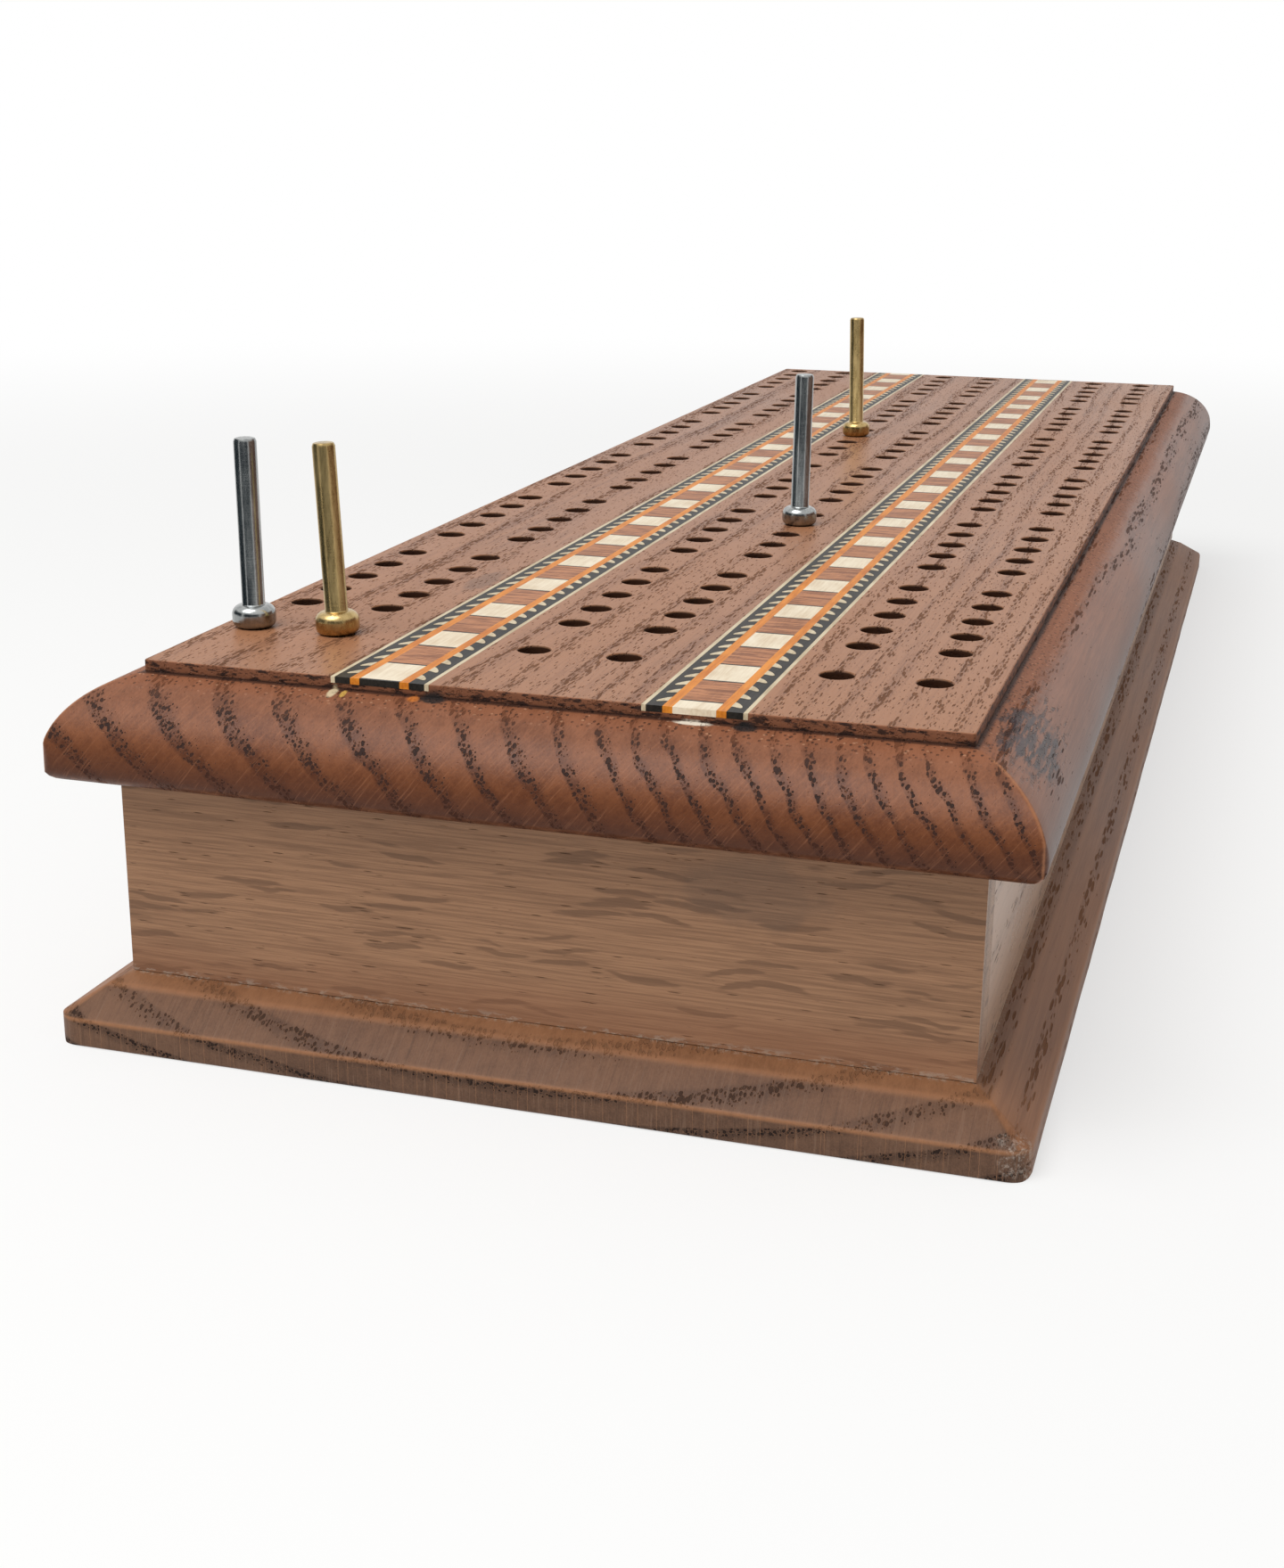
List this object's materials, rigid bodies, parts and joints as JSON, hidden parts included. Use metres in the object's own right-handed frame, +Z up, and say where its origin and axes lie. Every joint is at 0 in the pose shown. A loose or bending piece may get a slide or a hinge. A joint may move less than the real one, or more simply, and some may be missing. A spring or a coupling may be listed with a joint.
{
  "type": "cribbage box with drawer",
  "caption": "Oak cribbage board on a shallow box, with marquetry bands, metal pegs standing in the holes and a drawer for cards in the far end.",
  "frame": {"origin": "middle of the underside of the base board, on the surface that the box rests on", "axes": "+Z up out of the playing face, +Y along the box from the closed near end to the drawer front, +X to the right seen from the near end"},
  "size_m": [0.0924, 0.2736, 0.0552],
  "materials": {
    "oak_top": "stained and waxed oak, long grain on the field, end grain on the near and far mouldings",
    "oak_base": "stained and waxed oak with open pores",
    "oak_case": "quartersawn oak, thin wax finish",
    "oak_drawer": "planed oak, unstained",
    "cream_wood": "pale veneer under wax",
    "brown_wood": "mid-brown veneer under wax",
    "orange_wood": "dyed orange veneer line under wax",
    "black_wood": "black dyed veneer under wax",
    "rope_inlay": "black veneer with slanting cream ticks under wax",
    "steel": "turned steel, handled smooth",
    "brass": "turned brass, slightly dulled"
  },
  "bodies": {
    "box": {"base_board": "oak_base", "side_left": "oak_case", "side_right": "oak_case", "end_board": "oak_case", "top_board": "oak_top", "band_left_cream_lines": "cream_wood", "band_left_rope_strips": "rope_inlay", "band_left_orange_lines": "orange_wood", "band_left_cream_blocks": "cream_wood", "band_left_brown_blocks": "brown_wood", "band_left_black_lines": "black_wood", "band_right_cream_lines": "cream_wood", "band_right_rope_strips": "rope_inlay", "band_right_orange_lines": "orange_wood", "band_right_cream_blocks": "cream_wood", "band_right_brown_blocks": "brown_wood", "band_right_black_lines": "black_wood"},
    "drawer": {"drawer_front": "oak_case", "drawer_side_left": "oak_drawer", "drawer_side_right": "oak_drawer", "drawer_back": "oak_drawer", "drawer_bottom": "oak_drawer", "drawer_divider_front": "oak_drawer", "drawer_divider_back": "oak_drawer", "knob_plate": "brass", "drawer_knob": "brass"},
    "peg_steel_start": {"peg_steel_start": "steel"},
    "peg_brass_start": {"peg_brass_start": "brass"},
    "peg_steel_play": {"peg_steel_play": "steel"},
    "peg_brass_play": {"peg_brass_play": "brass"}
  },
  "joints": [
    {"name": "drawer_slide", "type": "slide", "parent": "box", "child": "drawer", "axis": [0, 1, 0], "range_m": [0, 0.225]},
    {"name": "peg_steel_start_lift", "type": "slide", "parent": "box", "child": "peg_steel_start", "axis": [0, 0, 1], "range_m": [0, 0.015]},
    {"name": "peg_brass_start_lift", "type": "slide", "parent": "box", "child": "peg_brass_start", "axis": [0, 0, 1], "range_m": [0, 0.015]},
    {"name": "peg_steel_play_lift", "type": "slide", "parent": "box", "child": "peg_steel_play", "axis": [0, 0, 1], "range_m": [0, 0.015]},
    {"name": "peg_brass_play_lift", "type": "slide", "parent": "box", "child": "peg_brass_play", "axis": [0, 0, 1], "range_m": [0, 0.015]}
  ]
}
